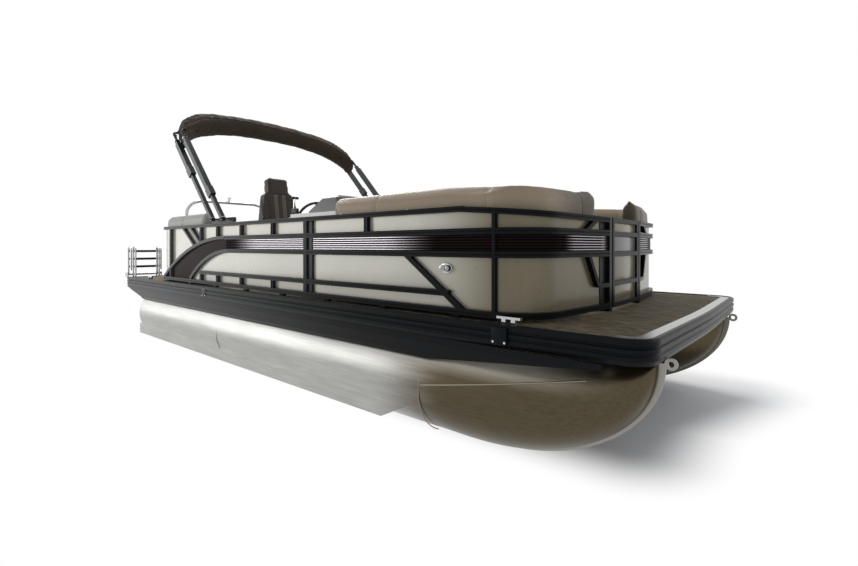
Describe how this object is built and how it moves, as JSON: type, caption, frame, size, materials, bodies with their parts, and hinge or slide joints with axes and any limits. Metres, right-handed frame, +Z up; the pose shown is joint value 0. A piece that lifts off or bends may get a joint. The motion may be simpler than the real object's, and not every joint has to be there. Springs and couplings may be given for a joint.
{
  "type": "pontoon boat",
  "caption": "Pontoon boat on two planing tubes with fenced deck, lounges, helm, folded sunshade, tow arch, boarding ladder and tilted outboard.",
  "frame": {"origin": "on the ground under the middle of the boat's length and width", "axes": "+X to the bow, +Y to port, +Z up"},
  "size_m": [7.7066, 2.59, 2.9567],
  "materials": {
    "mill_aluminium": "brushed",
    "deck_vinyl": "woven",
    "rub_rail": "satin",
    "bright_trim": "anodised",
    "charcoal_paint": "satin",
    "champagne_paint": "gloss",
    "burgundy_paint": "gloss",
    "engine_dark": "satin",
    "engine_paint": "gloss",
    "engine_cowl": "gloss",
    "propeller_steel": "polished",
    "seat_base_plastic": "textured",
    "tan_vinyl": "soft",
    "brown_vinyl": "soft",
    "grey_vinyl": "soft",
    "console_grey": "gloss",
    "dash_dark": "satin",
    "wheel_black": "satin",
    "polished_steel": "polished",
    "shade_tube_grey": "satin",
    "boot_fabric": "woven",
    "bracket_steel": "brushed",
    "lamp_glass": "clear"
  },
  "bodies": {
    "hull": {"pontoon_starboard": "mill_aluminium", "pontoon_port": "mill_aluminium", "pontoon_brackets": "mill_aluminium", "cross_members": "mill_aluminium", "deck": "deck_vinyl", "rub_rail": "rub_rail", "bow_trim": "bright_trim", "side_skirts": "charcoal_paint", "motor_pod": "mill_aluminium", "engine_clamp_bracket": "engine_dark", "fence_frame_starboard": "charcoal_paint", "fence_frame_port": "charcoal_paint", "fence_panel_starboard": "champagne_paint", "fence_panel_port": "champagne_paint", "fence_band_starboard": "burgundy_paint", "fence_band_port": "burgundy_paint", "bow_seat_bases": "seat_base_plastic", "bow_backrests": "tan_vinyl", "stern_seat_bases": "seat_base_plastic", "stern_lounge_cushion": "tan_vinyl", "port_lounge_backrest": "brown_vinyl", "corner_seat_backrest": "grey_vinyl", "helm_console": "console_grey", "helm_dash": "dash_dark", "chair_pedestal": "polished_steel", "sunshade_brackets": "bright_trim", "tow_arch": "polished_steel", "ladder_bracket": "bracket_steel", "cleats": "polished_steel", "docking_lights": "lamp_glass"},
    "engine_swivel": {"engine_swivel_bracket": "engine_dark"},
    "engine": {"engine_leg": "engine_paint", "engine_gearcase": "engine_paint", "engine_cowl": "engine_cowl"},
    "propeller_body": {"propeller": "propeller_steel"},
    "bow_gate_leaf": {"bow_gate": "charcoal_paint"},
    "side_gate_leaf": {"side_gate": "charcoal_paint"},
    "stern_gate_leaf": {"stern_gate": "charcoal_paint"},
    "bow_lid_starboard": {"bow_seat_cushion_starboard": "tan_vinyl"},
    "bow_lid_port": {"bow_seat_cushion_port": "tan_vinyl"},
    "lounge_lid": {"port_lounge_cushion": "tan_vinyl"},
    "corner_lid": {"corner_seat_cushion": "tan_vinyl"},
    "wheel": {"steering_wheel": "wheel_black"},
    "chair": {"chair_seat": "brown_vinyl", "chair_backrest": "brown_vinyl"},
    "shade_aft": {"sunshade_aft_legs": "shade_tube_grey"},
    "shade_fore": {"sunshade_fore_legs": "shade_tube_grey"},
    "shade_boot": {"sunshade_boot": "boot_fabric"},
    "ladder": {"boarding_ladder": "polished_steel"}
  },
  "joints": [
    {"name": "engine_tilt", "type": "hinge", "parent": "hull", "child": "engine_swivel", "pos_m": [-2.745, 0, 0.798], "axis": [0, 1, 0], "range_deg": [-50, 12]},
    {"name": "engine_steer", "type": "hinge", "parent": "engine_swivel", "child": "engine", "pos_m": [-2.81191, 0, 0.87231], "axis": [0.7431, 0, 0.6691], "range_deg": [-28, 28]},
    {"name": "propeller_spin", "type": "hinge", "parent": "engine", "child": "propeller_body", "pos_m": [-3.70455, 0, 0.59338], "axis": [0.6691, 0, -0.7431], "continuous": true},
    {"name": "wheel_turn", "type": "hinge", "parent": "hull", "child": "wheel", "pos_m": [0.415, -0.625, 1.508], "axis": [-0.8829, 0, 0.4695], "range_deg": [-420, 420]},
    {"name": "bow_gate_swing", "type": "hinge", "parent": "hull", "child": "bow_gate_leaf", "pos_m": [3.29, -0.2754, 1.093], "axis": [0, 0, 1], "range_deg": [0, 90]},
    {"name": "side_gate_swing", "type": "hinge", "parent": "hull", "child": "side_gate_leaf", "pos_m": [1.0779, 1.18, 1.093], "axis": [0, 0, 1], "range_deg": [0, 90]},
    {"name": "stern_gate_swing", "type": "hinge", "parent": "hull", "child": "stern_gate_leaf", "pos_m": [-2.035, 0.0079, 1.093], "axis": [0, 0, 1], "range_deg": [0, 90]},
    {"name": "bow_lid_starboard_lift", "type": "hinge", "parent": "hull", "child": "bow_lid_starboard", "pos_m": [2, -1.0207, 1.2233], "axis": [1, 0, 0], "range_deg": [0, 75]},
    {"name": "bow_lid_port_lift", "type": "hinge", "parent": "hull", "child": "bow_lid_port", "pos_m": [2, 1.0207, 1.2233], "axis": [-1, 0, 0], "range_deg": [0, 75]},
    {"name": "lounge_lid_lift", "type": "hinge", "parent": "hull", "child": "lounge_lid", "pos_m": [-0.5, 1.0207, 1.2233], "axis": [-1, 0, 0], "range_deg": [0, 75]},
    {"name": "corner_lid_lift", "type": "hinge", "parent": "hull", "child": "corner_lid", "pos_m": [-1.3, -1.0207, 1.2233], "axis": [1, 0, 0], "range_deg": [0, 75]},
    {"name": "chair_swivel", "type": "hinge", "parent": "hull", "child": "chair", "pos_m": [-0.09, -0.575, 1.193], "axis": [0, 0, 1], "continuous": true},
    {"name": "shade_aft_swing", "type": "hinge", "parent": "hull", "child": "shade_aft", "pos_m": [-0.435, 0, 1.508], "axis": [0, 1, 0], "range_deg": [-26, 42]},
    {"name": "shade_fore_swing", "type": "hinge", "parent": "hull", "child": "shade_fore", "pos_m": [-0.205, 0, 1.508], "axis": [0, 1, 0], "range_deg": [-26, 42]},
    {"name": "shade_boot_turn", "type": "hinge", "parent": "shade_aft", "child": "shade_boot", "pos_m": [-1.35195, 0, 2.45753], "axis": [0, 1, 0], "range_deg": [-42, 26]},
    {"name": "ladder_swing", "type": "hinge", "parent": "hull", "child": "ladder", "pos_m": [-3.104, -1.065, 0.827], "axis": [0, -1, 0], "range_deg": [0, 180]}
  ],
  "couplings": [
    {"joint": "shade_fore_swing", "follows": "shade_aft_swing", "ratio": 1},
    {"joint": "shade_boot_turn", "follows": "shade_aft_swing", "ratio": -1},
    {"joint": "wheel_turn", "follows": "engine_steer", "ratio": -15}
  ]
}
